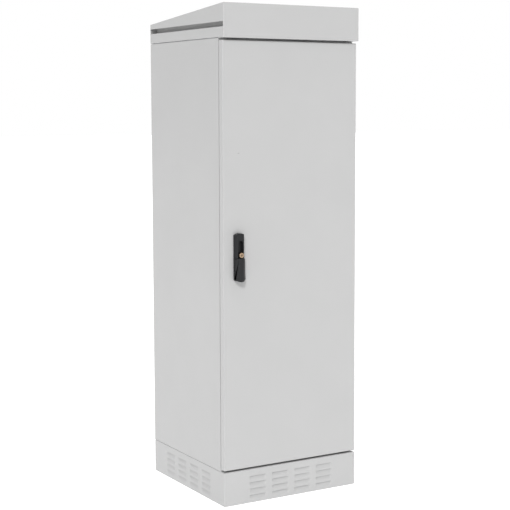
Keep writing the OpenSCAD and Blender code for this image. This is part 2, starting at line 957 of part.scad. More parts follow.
// Outline of the housing: straight sides and shallow round ends
module handle_outline(half_l) {
    flat_l = half_l - handle_dome;
    arc_r = (pow(handle_w / 2, 2) + pow(handle_dome, 2)) / (2 * handle_dome);
    intersection() {
        square([handle_w, 2 * half_l], center = true);
        union() {
            square([handle_w, 2 * flat_l], center = true);
            for (s = [-1, 1])
                intersection() {
                    translate([0, s * (half_l - arc_r)]) circle(arc_r);
                    translate([0, s * half_l]) square([handle_w, 2 * handle_dome + 1], center = true);
                }
        }
    }
}

// Section of the housing or lever, seen from above, out from the door face
module handle_section(shoulder, out, flat) {
    polygon([
        [-handle_w / 2, 0], [handle_w / 2, 0], [handle_w / 2, -shoulder],
        [flat / 2, -out], [-flat / 2, -out], [-handle_w / 2, -shoulder]
    ]);
}

// Section drawn above, run up from z0 to z1 at the handle's place
module handle_run(z0, z1, shoulder, out, flat) {
    translate([handle_x, front_y, z0]) linear_extrude(z1 - z0)
        handle_section(shoulder, out, flat);
}

// Outline drawn above, from one stand-out to a further one
module handle_plan(out0, out1) {
    translate([handle_x, 0, handle_z])
        plate_xz(front_y - out1, front_y - out0) handle_outline(handle_l / 2);
}

module handle_seal() {
    color(rubber) difference() {
        handle_plan(0, seal_t);
        bar_y(handle_x, spindle_z, front_y - 2, front_y + cut, spindle_r + 2);
        bar_y(handle_x, lock_z, front_y - 2, front_y + cut, lock_r + 0.5);
        for (z = screw_z) bar_y(handle_x, z, front_y - 2, front_y + cut, m5_r);
    }
}

module handle_housing() {
    reach = lever_reach + lever_gap;
    color(black) difference() {
        union() {
            handle_plan(seal_t, base_t);
            intersection() {
                handle_plan(seal_t, upper_out);
                handle_run(spindle_z, handle_top + cut, shoulder_upper, upper_out, flat_upper);
            }
        }
        intersection() {
            bar_y(handle_x, spindle_z, front_y - upper_out - cut, front_y - base_t, reach);
            block(
                [handle_x - handle_w, front_y - upper_out - cut, handle_low - cut],
                [handle_x + handle_w, front_y - base_t, handle_top]
            );
        }
        plate_xz(front_y - upper_out - cut, front_y - upper_out + recess_depth) {
            translate([handle_x - recess_w / 2, spindle_z])
                square([recess_w, recess_top - recess_w / 2 - spindle_z]);
            translate([handle_x, recess_top - recess_w / 2]) circle(recess_w / 2);
        }
        bar_y(handle_x, spindle_z, front_y - base_t - cut, front_y, spindle_r + turn_fit);
        bar_y(handle_x, lock_z, front_y - upper_out - cut, front_y, lock_r);
        for (z = screw_z) bar_y(handle_x, z, front_y - 5, front_y, m5_r);
    }
}

// Steel plate inside the door that the housing is screwed against
module handle_plate() {
    w = 36;
    color(zinc) difference() {
        block(
            [handle_x - w / 2, plate_y, handle_low + 4],
            [handle_x + w / 2, plate_y + plate_t, handle_top - 4]
        );
        bar_y(handle_x, spindle_z, plate_y - cut, plate_y + plate_t + cut, spindle_r + turn_fit);
        bar_y(handle_x, lock_z, plate_y - cut, plate_y + plate_t + cut, lock_r);
        for (z = screw_z) bar_y(handle_x, z, plate_y - cut, plate_y + plate_t + cut, m5_r);
    }
}

module handle_screws() {
    color(zinc)
        for (z = screw_z)
            translate([handle_x, plate_y + plate_t, z]) rotate([-90, 0, 0])
                pan_screw(m5_r, plate_t + skin + 5, 3);
}

// ---------- lock ----------

module lock_body() {
    color(brass) difference() {
        bar_y(handle_x, lock_z, front_y - lever_out, lock_back, lock_r);
        bar_y(handle_x, lock_z, front_y - lever_out - cut, lock_back + cut,
            lock_plug_r + turn_fit);
    }
}

// Turning core with its keyway and a tongue at the rear
module lock_plug() {
    key_w = 1.6;
    key_h = 7;
    key_d = 16;
    tongue_l = 20;
    tongue_t = 2;
    tongue_y = lock_back + 0.5;
    y0 = front_y - lever_out;
    color(brass) {
        difference() {
            bar_y(handle_x, lock_z, y0, tongue_y + tongue_t, lock_plug_r);
            block(
                [handle_x - key_w / 2, y0 - cut, lock_z - key_h / 2],
                [handle_x + key_w / 2, y0 + key_d, lock_z + key_h / 2]
            );
        }
        block(
            [handle_x - 4, tongue_y, lock_z - 3],
            [handle_x + 4, tongue_y + tongue_t, lock_z + tongue_l]
        );
    }
}

// ---------- spindle, cam and lever ----------

module spindle() {
    journal_out = front_y - base_t;
    journal_in_y = plate_y + plate_t;
    color(zinc) difference() {
        union() {
            bar_y(handle_x, spindle_z, journal_out, journal_in_y, spindle_r);
            block(
                [handle_x - shaft_half, journal_in_y - cut, spindle_z - shaft_half],
                [handle_x + shaft_half, cam_y + cam_t, spindle_z + shaft_half]
            );
            bar_y(handle_x, spindle_z, cam_y, cam_y + cam_t + 6.5, m5_r);
            block(
                [handle_x - tab_t / 2, front_y - pivot_out, spindle_z - 5],
                [handle_x + tab_t / 2, journal_out + cut, spindle_z + 5]
            );
            translate([handle_x, front_y - pivot_out, spindle_z]) rotate([0, 90, 0])
                cylinder(h = tab_t, r = 5, center = true);
        }
        translate([handle_x, front_y - pivot_out, spindle_z]) rotate([0, 90, 0])
            cylinder(h = tab_t + 2 * cut, r = pivot_r + turn_fit, center = true);
    }
}

// Crank plate on the spindle's square, with a pin for each rod
module lock_cam() {
    arm = crank_r * sqrt(0.5);
    color(zinc) difference() {
        union() {
            bar_y(handle_x, spindle_z, cam_y, cam_y + cam_t, 11);
            for (s = [-1, 1]) {
                bar_y(handle_x + s * arm, spindle_z + s * arm, cam_y, cam_y + cam_t,
                    crank_pin_r + 2.5);
                bar_y(handle_x + s * arm, spindle_z + s * arm, cam_y, yoke_y + yoke_t + 1,
                    crank_pin_r);
            }
        }
        block(
            [handle_x - shaft_half, cam_y - cut, spindle_z - shaft_half],
            [handle_x + shaft_half, cam_y + cam_t + cut, spindle_z + shaft_half]
        );
    }
}

module cam_nut() {
    y0 = cam_y + cam_t;
    color(zinc) difference() {
        translate([handle_x, y0, spindle_z]) rotate([-90, 0, 0])
            cylinder(h = 4, r = 4.6, $fn = 6);
        bar_y(handle_x, spindle_z, y0 - cut, y0 + 4 + cut, m5_r);
    }
}

// Lever over the lower half of the housing, pivoted at its foot
module lever() {
    out0 = base_t + base_clear;
    relief_l = 30;
    color(black) difference() {
        intersection() {
            handle_plan(out0, lever_out);
            handle_run(handle_low - cut, handle_top, shoulder_lever, lever_out, flat_lever);
            bar_y(handle_x, spindle_z, front_y - lever_out - cut, front_y - base_t, lever_reach);
        }
        block(
            [handle_x - tab_t / 2 - base_clear, front_y - pivot_out - 8, spindle_z - 8],
            [handle_x + tab_t / 2 + base_clear, front_y, spindle_z + 9]
        );
        plate_yz(handle_x - handle_w, handle_x + handle_w)
            polygon([
                [front_y, spindle_z],
                [front_y - out0, spindle_z],
                [front_y - out0 - relief_l * tan(tilt_relief), spindle_z - relief_l],
                [front_y, spindle_z - relief_l]
            ]);
        translate([handle_x, front_y - pivot_out, spindle_z]) rotate([0, 90, 0])
            cylinder(h = 30, r = pivot_r, center = true);
    }
}

module lever_pin() {
    color(zinc) translate([handle_x, front_y - pivot_out, spindle_z]) rotate([0, 90, 0])
        cylinder(h = 30, r = pivot_r, center = true);
}

// ---------- rods ----------

// Round rod with a flat yoke whose cross slot takes the cam's pin
module rod(up) {
    x = handle_x + up * rod_x;
    pin_z = spindle_z + up * rod_travel / 2;
    end_z = up > 0 ? rod_end_top : rod_end_low;
    yoke_w = 13;
    yoke_h = 12;
    start_z = pin_z + up * (yoke_h / 2 - 1);
    color(zinc) {
        difference() {
            block(
                [x - yoke_w / 2, yoke_y, pin_z - yoke_h / 2],
                [x + yoke_w / 2, yoke_y + yoke_t, pin_z + yoke_h / 2]
            );
            block(
                [x - yoke_w / 2 + 1.5, yoke_y - cut, pin_z - crank_pin_r - yoke_play],
                [x + yoke_w / 2 - 1.5, yoke_y + yoke_t + cut, pin_z + crank_pin_r + yoke_play]
            );
        }
        translate([x, rod_y, min(start_z, end_z)]) cylinder(h = abs(end_z - start_z), r = rod_r);
    }
}

// ---------- the pieces ----------

plinth();
plinth_bolts();
base_frame();
front_frame();
rear_post(-1);  // rear_post_left
rear_post(1);  // rear_post_right
top_frame();
side_panel(-1);  // side_panel_left
side_panel(1);  // side_panel_right
rear_panel();
floor_plate();
gland_plate();
gland_screws();
cable_grommet();
roof_deck();
roof_brackets();
roof_bolts();
roof_hood();
brace(-1, brace_low_z);  // brace_lower_left
brace(1, brace_low_z);  // brace_lower_right
brace(-1, brace_top_z);  // brace_upper_left
brace(1, brace_top_z);  // brace_upper_right
rail(-1, rail_front_y, 1);  // rail_front_left
rail(1, rail_front_y, 1);  // rail_front_right
rail(-1, rail_rear_y, -1);  // rail_rear_left
rail(1, rail_rear_y, -1);  // rail_rear_right
rack_screws();
earth_bar();
earth_screws();
keeper(rod_x, opening_top - skin, arm_top, 1);  // keeper_upper
keeper(-rod_x, opening_low + skin, arm_low, -1);  // keeper_lower
hinge_leaf(hinge_z[0]);  // hinge_leaf_lower
hinge_leaf(hinge_z[1]);  // hinge_leaf_middle
hinge_leaf(hinge_z[2]);  // hinge_leaf_upper
door_panel();
door_stiffener(handle_x + 75);  // door_stiffener_left
door_stiffener(-handle_x - 75);  // door_stiffener_right
door_seal();
door_leaf(hinge_z[0]);  // door_leaf_lower
door_leaf(hinge_z[1]);  // door_leaf_middle
door_leaf(hinge_z[2]);  // door_leaf_upper
hinge_pin(hinge_z[0]);  // hinge_pin_lower
hinge_pin(hinge_z[1]);  // hinge_pin_middle
hinge_pin(hinge_z[2]);  // hinge_pin_upper
rod_guides();
handle_seal();
handle_housing();
handle_plate();
handle_screws();
lock_body();
lock_plug();
spindle();
lock_cam();
cam_nut();
lever();
lever_pin();
rod(1);  // rod_upper
rod(-1);  // rod_lower
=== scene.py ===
"""Outdoor equipment cabinet: painted skins, louvred plinth, hood and door gear.

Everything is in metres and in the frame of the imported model: the origin is at the
middle of the plinth's footprint on the ground, +Z is up and the door faces -Y.
"""

from __future__ import annotations

import logging
import math
from collections.abc import Iterable
from dataclasses import dataclass, field
from enum import Enum

import bmesh
import bpy
from mathutils import Euler, Matrix, Vector
from mathutils.bvhtree import BVHTree

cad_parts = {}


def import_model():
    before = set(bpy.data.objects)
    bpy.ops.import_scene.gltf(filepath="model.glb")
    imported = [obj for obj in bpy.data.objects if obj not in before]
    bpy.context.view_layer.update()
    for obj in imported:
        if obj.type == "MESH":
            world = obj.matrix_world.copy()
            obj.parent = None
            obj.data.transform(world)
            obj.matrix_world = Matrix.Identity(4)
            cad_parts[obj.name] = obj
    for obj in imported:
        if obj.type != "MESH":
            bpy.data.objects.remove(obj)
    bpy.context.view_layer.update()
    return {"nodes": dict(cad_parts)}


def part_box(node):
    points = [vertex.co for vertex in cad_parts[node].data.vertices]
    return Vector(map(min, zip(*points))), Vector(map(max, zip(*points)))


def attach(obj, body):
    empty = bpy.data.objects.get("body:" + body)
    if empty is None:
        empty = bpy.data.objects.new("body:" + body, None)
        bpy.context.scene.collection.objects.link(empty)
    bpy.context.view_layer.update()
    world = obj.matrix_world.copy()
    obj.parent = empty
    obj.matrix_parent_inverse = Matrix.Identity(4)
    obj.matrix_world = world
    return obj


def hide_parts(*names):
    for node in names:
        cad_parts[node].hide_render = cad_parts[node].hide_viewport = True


log = logging.getLogger("cabinet")
MM = 0.001
QUARTER = math.pi / 2
MERGE = 1e-6
Pair = tuple[float, float]
Triple = tuple[float, float, float]


class Slot(Enum):
    """The finishes that the cabinet's parts are given."""

    PAINT = "painted_sheet"
    ZINC = "zinc_steel"
    BLACK = "handle_black"
    BRASS = "lock_brass"
    RUBBER = "rubber"
    COPPER = "earth_copper"


class Head(Enum):
    """The kinds of screw head in the cabinet."""

    HEX = "hex"
    PAN = "pan"


# ---------- node trees ----------


class Wire:
    """A node's output that arithmetic operators can work on."""

    def __init__(self, board: Board, socket: bpy.types.NodeSocket) -> None:
        """Keeps the output and the board it belongs to."""
        self.board = board
        self.socket = socket

    def _maths(self, operation: str, first: Wire | float, second: Wire | float) -> Wire:
        """Result of a Math node for the operation."""
        inputs = {0: first, 1: second}
        return self.board.add("ShaderNodeMath", {"operation": operation}, inputs)

    def __add__(self, other: Wire | float) -> Wire:
        """Sum."""
        return self._maths("ADD", self, other)

    __radd__ = __add__

    def __sub__(self, other: Wire | float) -> Wire:
        """Difference."""
        return self._maths("SUBTRACT", self, other)

    def __rsub__(self, other: float) -> Wire:
        """Difference, with the number first."""
        return self._maths("SUBTRACT", other, self)

    def __mul__(self, other: Wire | float) -> Wire:
        """Product."""
        return self._maths("MULTIPLY", self, other)

    __rmul__ = __mul__

    def ramp(self, low: float, high: float) -> Wire:
        """Smooth step from 0 at low to 1 at high.

        Args:
            low: Value where the step starts.
            high: Value where it ends; it may be the lower of the two.

        Returns:
            A value from 0 to 1.
        """
        if low > high:
            return 1.0 - self.ramp(high, low)
        settings = {"interpolation_type": "SMOOTHSTEP"}
        inputs = {0: self, 1: low, 2: high, 3: 0.0, 4: 1.0}
        return self.board.add("ShaderNodeMapRange", settings, inputs)


class Board:
    """A node tree, for a material or for geometry, that nodes are added to."""

    def __init__(self, tree: bpy.types.NodeTree) -> None:
        """Keeps the tree."""
        self.tree = tree

    def place(
        self,
        kind: str,
        settings: dict[str, object] | None = None,
        inputs: dict[str | int, object] | None = None,
    ) -> bpy.types.Node:
        """Adds a node.

        Args:
            kind: The node's type.
            settings: Its properties, which are set first.
            inputs: Values or wires for its sockets, by name or number.

        Returns:
            The node.
        """
        node = self.tree.nodes.new(kind)
        for name, value in (settings or {}).items():
            setattr(node, name, value)
        for key, value in (inputs or {}).items():
            for one in value if isinstance(value, list) else [value]:
                if isinstance(one, Wire):
                    self.tree.links.new(one.socket, node.inputs[key])
                else:
                    node.inputs[key].default_value = one
        return node

    def add(
        self,
        kind: str,
        settings: dict[str, object] | None = None,
        inputs: dict[str | int, object] | None = None,
        out: str | int = 0,
    ) -> Wire:
        """Adds a node as place does, and returns the output of that name or number."""
        node = self.place(kind, settings, inputs)
        return Wire(self, node.outputs[out])


class Paintwork(Board):
    """The shader of one finish."""

    def __init__(self, name: str) -> None:
        """Starts an empty material of that name."""
        self.skin = bpy.data.materials.new(name)
        self.skin.use_nodes = True
        super().__init__(self.skin.node_tree)
        self.tree.nodes.clear()
        self.spot = self.add("ShaderNodeTexCoord", out="Object")

    def stretched(self, scale: Triple, at: Wire | None = None) -> Wire:
        """Coordinates scaled along each axis, by default the object's own."""
        inputs = {"Vector": at or self.spot, "Scale": scale}
        return self.add("ShaderNodeMapping", None, inputs)

    def from_point(self, point: Triple) -> Wire:
        """Object coordinates counted from a point."""
        settings = {"operation": "SUBTRACT"}
        return self.add("ShaderNodeVectorMath", settings, {0: self.spot, 1: point})

    def cloud(self, scale: float, detail: float = 2.0, at: Wire | None = None) -> Wire:
        """Noise about zero.

        Args:
            scale: Cells in a metre.
            detail: Octaves.
            at: Coordinates, or None for the object's own.

        Returns:
            A value from about -0.5 to 0.5.
        """
        inputs = {"Vector": at or self.spot, "Scale": scale, "Detail": detail}
        return self.add("ShaderNodeTexNoise", None, inputs) - 0.5

    def blended(self, share: Wire, first: tuple, second: tuple | Wire) -> Wire:
        """Mix of two colours by a share from 0 to 1."""
        settings = {"data_type": "RGBA"}
        if not isinstance(first, Wire):
            first = (*first, 1.0)
        if not isinstance(second, Wire):
            second = (*second, 1.0)
        inputs = {0: share, 6: first, 7: second}
        return self.add("ShaderNodeMix", settings, inputs, out=2)

    def finished(
        self,
        colour: Wire,
        roughness: Wire,
        height: Wire,
        constants: dict[str, float],
    ) -> bpy.types.Material:
        """Closes the shader.

        Args:
            colour: Base colour over the surface.
            roughness: Roughness over the surface.
            height: Relief in metres.
            constants: Other values of the surface, the same all over.

        Returns:
            The material.
        """
        bump = self.add("ShaderNodeBump", None, {"Distance": 1.0, "Height": height})
        inputs = {"Base Color": colour, "Roughness": roughness, "Normal": bump}
        inputs.update(constants)
        surface = self.add("ShaderNodeBsdfPrincipled", None, inputs)
        self.place("ShaderNodeOutputMaterial", None, {"Surface": surface})
        return self.skin


# ---------- finishes ----------


@dataclass(frozen=True)
class PowderCoat:
    """Light grey polyester powder over steel sheet, with a faint orange peel."""

    tone: Triple = (0.437, 0.437, 0.437)
    roughness: float = 0.42
    peel: float = 0.000012
    scuff_at: Triple | None = None
    scuff_squeeze: Triple = (160.0, 30.0, 520.0)

    def material(self, name: str) -> bpy.types.Material:
        """Builds the finish under that name."""
        work = Paintwork(name)
        broad = work.cloud(5.0, 3.0)
        grain = work.cloud(420.0, 2.0)
        pale = tuple(min(1.0, 1.035 * c) for c in self.tone)
        deep = tuple(0.965 * c for c in self.tone)
        colour = work.blended(0.5 + 0.9 * broad + 0.35 * grain, deep, pale)
        roughness = self.roughness + 0.08 * work.cloud(28.0, 3.0) + 0.05 * grain
        height = self.peel * work.cloud(700.0, 2.0) + 0.0004 * work.cloud(4.0, 1.0)
        if self.scuff_at:
            mark = self.scuff(work)
            colour = work.blended(mark, colour, tuple(0.55 * c for c in self.tone))
            roughness = roughness + 0.2 * mark
        constants = {"Specular IOR Level": 0.42}
        return work.finished(colour, roughness, height, constants)

    def scuff(self, work: Paintwork) -> Wire:
        """A small rubbed mark, flat and broken up along its length."""
        squeezed = work.stretched(self.scuff_squeeze, work.from_point(self.scuff_at))
        settings = {"operation": "LENGTH"}
        reach = work.add("ShaderNodeVectorMath", settings, {0: squeezed}, out="Value")
        broken = work.cloud(480.0, 2.0).ramp(-0.16, 0.06)
        return 0.8 * reach.ramp(1.0, 0.55) * broken


@dataclass(frozen=True)
class ZincPlate:
    """Zinc-plated steel: soft spangle, hairline drag marks and slight dulling."""

    tone: Triple = (0.60, 0.615, 0.635)
    roughness: float = 0.38

    def material(self, name: str) -> bpy.types.Material:
        """Builds the finish under that name."""
        work = Paintwork(name)
        inputs = {"Vector": work.spot, "Scale": 95.0}
        cell = work.add("ShaderNodeTexVoronoi", {"feature": "F1"}, inputs, out="Color")
        spangle = work.add("ShaderNodeSeparateColor", None, {0: cell})
        drag = work.cloud(240.0, 2.0, work.stretched((1.0, 1.0, 0.06)))
        dull = work.cloud(9.0, 3.0)
        share = 0.35 + 0.3 * spangle + 0.4 * dull + 0.25 * drag
        deep = tuple(0.80 * c for c in self.tone)
        colour = work.blended(share, deep, tuple(1.08 * c for c in self.tone))
        roughness = self.roughness + 0.12 * spangle + 0.18 * dull
        height = 0.00001 * drag + 0.000012 * work.cloud(900.0, 1.0)
        return work.finished(colour, roughness, height, {"Metallic": 0.9})


@dataclass(frozen=True)
class MouldedBlack:
    """Black moulded housing with a fine spark-eroded grain."""

    tone: Triple = (0.0085, 0.009, 0.010)
    roughness: float = 0.40

    def material(self, name: str) -> bpy.types.Material:
        """Builds the finish under that name."""
        work = Paintwork(name)
        grain = work.cloud(1500.0, 2.0)
        rubbed = work.cloud(60.0, 3.0)
        pale = tuple(1.9 * c for c in self.tone)
        colour = work.blended(0.3 + 0.7 * rubbed + 0.3 * grain, self.tone, pale)
        roughness = self.roughness + 0.14 * rubbed + 0.08 * grain
        height = 0.00003 * grain + 0.00001 * work.cloud(300.0, 1.0)
        constants = {"Specular IOR Level": 0.3}
        return work.finished(colour, roughness, height, constants)


@dataclass(frozen=True)
class TurnedBrass:
    """Brass with turning rings round the lock's own axis."""

    centre: Triple
    tone: Triple = (0.46, 0.335, 0.23)
    roughness: float = 0.22

    def material(self, name: str) -> bpy.types.Material:
        """Builds the finish under that name."""
        work = Paintwork(name)
        settings = {"wave_type": "RINGS", "rings_direction": "Y"}
        inputs = {"Vector": work.from_point(self.centre), "Scale": 700.0}
        inputs.update({"Distortion": 0.6, "Detail": 1.0})
        rings = work.add("ShaderNodeTexWave", settings, inputs, out="Fac")
        worn = work.cloud(220.0, 3.0)
        deep = tuple(0.62 * c for c in self.tone)
        colour = work.blended(0.75 + 0.9 * worn - 0.2 * rings, deep, self.tone)
        roughness = self.roughness + 0.2 * worn + 0.06 * rings
        height = 0.000006 * rings + 0.00001 * worn
        return work.finished(colour, roughness, height, {"Metallic": 1.0})


@dataclass(frozen=True)
class FoamRubber:
    """Dark closed-cell foam and edge rubber."""

    tone: Triple = (0.028, 0.028, 0.029)
    roughness: float = 0.8

    def material(self, name: str) -> bpy.types.Material:
        """Builds the finish under that name."""
        work = Paintwork(name)
        pores = work.cloud(1300.0, 3.0)
        dust = work.cloud(40.0, 3.0)
        pale = tuple(2.2 * c for c in self.tone)
        colour = work.blended(0.35 + 0.6 * dust + 0.4 * pores, self.tone, pale)
        roughness = self.roughness + 0.15 * dust
        constants = {"Specular IOR Level": 0.3}
        return work.finished(colour, roughness, 0.00008 * pores, constants)


@dataclass(frozen=True)
class BareCopper:
    """Drawn copper bar, partly browned."""

    tone: Triple = (0.80, 0.43, 0.28)
    roughness: float = 0.32

    def material(self, name: str) -> bpy.types.Material:
        """Builds the finish under that name."""
        work = Paintwork(name)
        tarnish = work.cloud(45.0, 4.0)
        drawn = work.cloud(500.0, 2.0, work.stretched((0.04, 1.0, 1.0)))
        brown = (0.36, 0.17, 0.10)
        colour = work.blended(0.65 + 1.2 * tarnish + 0.3 * drawn, brown, self.tone)
        roughness = self.roughness + 0.25 * tarnish
        return work.finished(colour, roughness, 0.00001 * drawn, {"Metallic": 1.0})


@dataclass(frozen=True)
class StudioFloor:
    """Plain pale matt floor, lit a little from below like a light table."""

    tone: Triple = (0.97, 0.97, 0.97)
    glow: float = 0.3

    def material(self, name: str) -> bpy.types.Material:
        """Builds the finish under that name."""
        work = Paintwork(name)
        faint = work.cloud(0.8, 2.0)
        deep = tuple(0.99 * c for c in self.tone)
        colour = work.blended(0.5 + faint, deep, self.tone)
        roughness = 0.9 + 0.05 * faint
        constants = {
            "Specular IOR Level": 0.1,
            "Emission Color": (1.0, 1.0, 1.0, 1.0),
            "Emission Strength": self.glow,
        }
        return work.finished(colour, roughness, 0.0001 * faint, constants)


class Palette:
    """The finishes of the whole cabinet, each made once."""

    scuff_on_door = Vector((67 * MM, 0.0, 1206 * MM))

    def __init__(self) -> None:
        """Makes every finish."""
        lock_low, lock_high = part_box("lock_body")
        lock_centre = tuple((lock_low + lock_high) / 2)
        door_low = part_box("door_panel")[0]
        scuff = tuple(door_low + self.scuff_on_door)
        self.door_paint = PowderCoat(scuff_at=scuff).material("door_powder_coat")
        self.by_slot: dict[Slot, bpy.types.Material] = {
            Slot.PAINT: PowderCoat().material("grey_powder_coat"),
            Slot.ZINC: ZincPlate().material("zinc_plate"),
            Slot.BLACK: MouldedBlack().material("black_moulding"),
            Slot.BRASS: TurnedBrass(lock_centre).material("turned_brass"),
            Slot.RUBBER: FoamRubber().material("dark_foam_rubber"),
            Slot.COPPER: BareCopper().material("copper_bar"),
        }


# ---------- shared making ----------


@dataclass
class Workshop:
    """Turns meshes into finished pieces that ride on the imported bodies."""

    nodes: dict[str, bpy.types.Object]
    palette: Palette

    def link(self, mesh: bpy.types.Mesh, name: str) -> bpy.types.Object:
        """An object at the origin that holds the mesh."""
        piece = bpy.data.objects.new(name, mesh)
        bpy.context.scene.collection.objects.link(piece)
        return piece

    def filled(self, work: bmesh.types.BMesh, name: str) -> bpy.types.Object:
        """An object that holds a working shape, which is freed."""
        mesh = bpy.data.meshes.new(name)
        work.to_mesh(mesh)
        work.free()
        return self.link(mesh, name)

    def baked(self, piece: bpy.types.Object) -> bpy.types.Object:
        """Makes a piece's modifiers part of its mesh, and returns the piece."""
        bpy.context.view_layer.update()
        graph = bpy.context.evaluated_depsgraph_get()
        mesh = bpy.data.meshes.new_from_object(
            piece.evaluated_get(graph), preserve_all_data_layers=True, depsgraph=graph
        )
        piece.modifiers.clear()
        old, piece.data = piece.data, mesh
        mesh.name = piece.name
        if old.users == 0:
            bpy.data.meshes.remove(old)
        return piece

    def hang(
        self,
        piece: bpy.types.Object,
        body: str,
        slot: Slot,
        stands_for: Iterable[str] = (),
        coat: bpy.types.Material | None = None,
    ) -> bpy.types.Object:
        """Gives a piece its finish, body and slot, and the nodes it stands for.

        Args:
            piece: The finished object.
            body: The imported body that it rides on.
            slot: The finish's slot.
            stands_for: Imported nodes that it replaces.
            coat: Another material than the slot's own.

        Returns:
            The piece.
        """
        piece.data.materials.clear()
        piece.data.materials.append(coat or self.palette.by_slot[slot])
        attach(piece, body)
        if stands_for:
            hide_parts(*stands_for)
        log.info("%s: %d faces on %s", piece.name, len(piece.data.polygons), body)
        return piece

    def merged(self, node: str) -> bmesh.types.BMesh:
        """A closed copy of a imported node, its flat faces joined up."""
        work = bmesh.new()
        work.from_mesh(self.nodes[node].data)
        bmesh.ops.remove_doubles(work, verts=work.verts, dist=MERGE)
        flat = {"angle_limit": math.radians(0.5), "use_dissolve_boundaries": False}
        bmesh.ops.dissolve_limit(work, verts=work.verts, edges=work.edges, **flat)
        work.normal_update()
        return work


@dataclass
class EdgeSoftener:
    """Rounds a part's edges: wide at its outside bends, fine at cut edges."""

    shop: Workshop
    bend: float = 2.2 * MM
    fine: float = 0.4 * MM
    share: float = 0.32
    segments: int = 3
    sharp: float = math.radians(26.0)

    def outside(self, face: bmesh.types.BMFace, corners: list[Vector]) -> bool:
        """Whether the whole part lies behind a face."""
        normal, point = face.normal, face.verts[0].co
        return all((corner - point).dot(normal) < 0.02 * MM for corner in corners)

    def room(self, edge: bmesh.types.BMEdge, tree: BVHTree) -> float:
        """How far the material runs from an edge under its two faces.

        Args:
            edge: A sharp edge.
            tree: The part's faces.

        Returns:
            The smaller distance, in metres.
        """
        middle = (edge.verts[0].co + edge.verts[1].co) / 2
        skin = 0.05 * MM
        least = 1.0
        for loop in edge.link_loops:
            along = loop.link_loop_next.vert.co - loop.vert.co
            normal = loop.face.normal
            inward = normal.cross(along).normalized()
            start = middle + (inward - normal) * skin
            distance = tree.ray_cast(start, inward)[3]
            if distance is not None:
                least = min(least, distance + skin)
        return least

    def soften(self, work: bmesh.types.BMesh, name: str) -> bpy.types.Object:
        """Rounds the edges of a closed shape.

        Args:
            work: The shape; it is freed.
            name: The piece's name.

        Returns:
            The piece, as a plain mesh.
        """
        tree = BVHTree.FromBMesh(work)
        corners = [v.co.copy() for v in work.verts]
        outer = {f.index: self.outside(f, corners) for f in work.faces}
        weight = work.edges.layers.float.new("bevel_weight_edge")
        for edge in work.edges:
            if len(edge.link_faces) != 2 or edge.calc_face_angle(0.0) < self.sharp:
                continue
            wide = all(outer[f.index] for f in edge.link_faces)
            width = self.bend if wide else self.fine
            edge[weight] = min(width, self.share * self.room(edge, tree)) / self.bend
        piece = self.shop.filled(work, name)
        piece.data.shade_smooth()
        bevel = piece.modifiers.new("bends", "BEVEL")
        bevel.limit_method = "WEIGHT"
        bevel.width = self.bend
        bevel.segments = self.segments
        bevel.use_clamp_overlap = False
        normals = piece.modifiers.new("flats", "WEIGHTED_NORMAL")
        normals.keep_sharp = True
        normals.weight = 80
        return self.shop.baked(piece)

    def from_node(self, node: str, name: str) -> bpy.types.Object:
        """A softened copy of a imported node."""
        return self.soften(self.shop.merged(node), name)


# ---------- geometry node trees ----------


class Pattern(Board):
    """A geometry tree with named inputs that ends in real faces and a finish."""

    def __init__(self, name: str, inputs: dict[str, list[str]]) -> None:
        """Starts the tree.

        Args:
            name: The tree's name.
            inputs: Names of the inputs after the geometry, under their kinds.
        """
        tree = bpy.data.node_groups.new(name, "GeometryNodeTree")
        super().__init__(tree)
        new = tree.interface.new_socket
        kinds = {"Geometry": ["Geometry"], **inputs, "Material": ["Finish"]}
        for kind, labels in kinds.items():
            for label in labels:
                new(name=label, in_out="INPUT", socket_type=f"NodeSocket{kind}")
        new(name="Geometry", in_out="OUTPUT", socket_type="NodeSocketGeometry")
        self.entry = self.place("NodeGroupInput")

    def given(self, name: str) -> Wire:
        """One of the tree's named inputs."""
        return Wire(self, self.entry.outputs[name])

    def shape(self, name: str) -> Wire:
        """The geometry of an object that is one of the tree's inputs."""
        inputs = {"Object": self.given(name)}
        return self.add("GeometryNodeObjectInfo", None, inputs, out="Geometry")

    def close(self, shape: Wire) -> None:
        """Ends the tree: instances made real, then the finish."""
        real = self.add("GeometryNodeRealizeInstances", None, {"Geometry": shape})
        inputs = {"Geometry": real, "Material": self.given("Finish")}
        done = self.add("GeometryNodeSetMaterial", None, inputs)
        self.place("NodeGroupOutput", None, {"Geometry": done})

    def apply(self, piece: bpy.types.Object, values: dict[str, object]) -> None:
        """Adds the tree to a piece, with values for its named inputs."""
        step = piece.modifiers.new(self.tree.name, "NODES")
        step.node_group = self.tree
        for item in self.tree.interface.items_tree:
            if item.in_out == "INPUT" and item.name in values:
                step[item.identifier] = values[item.name]


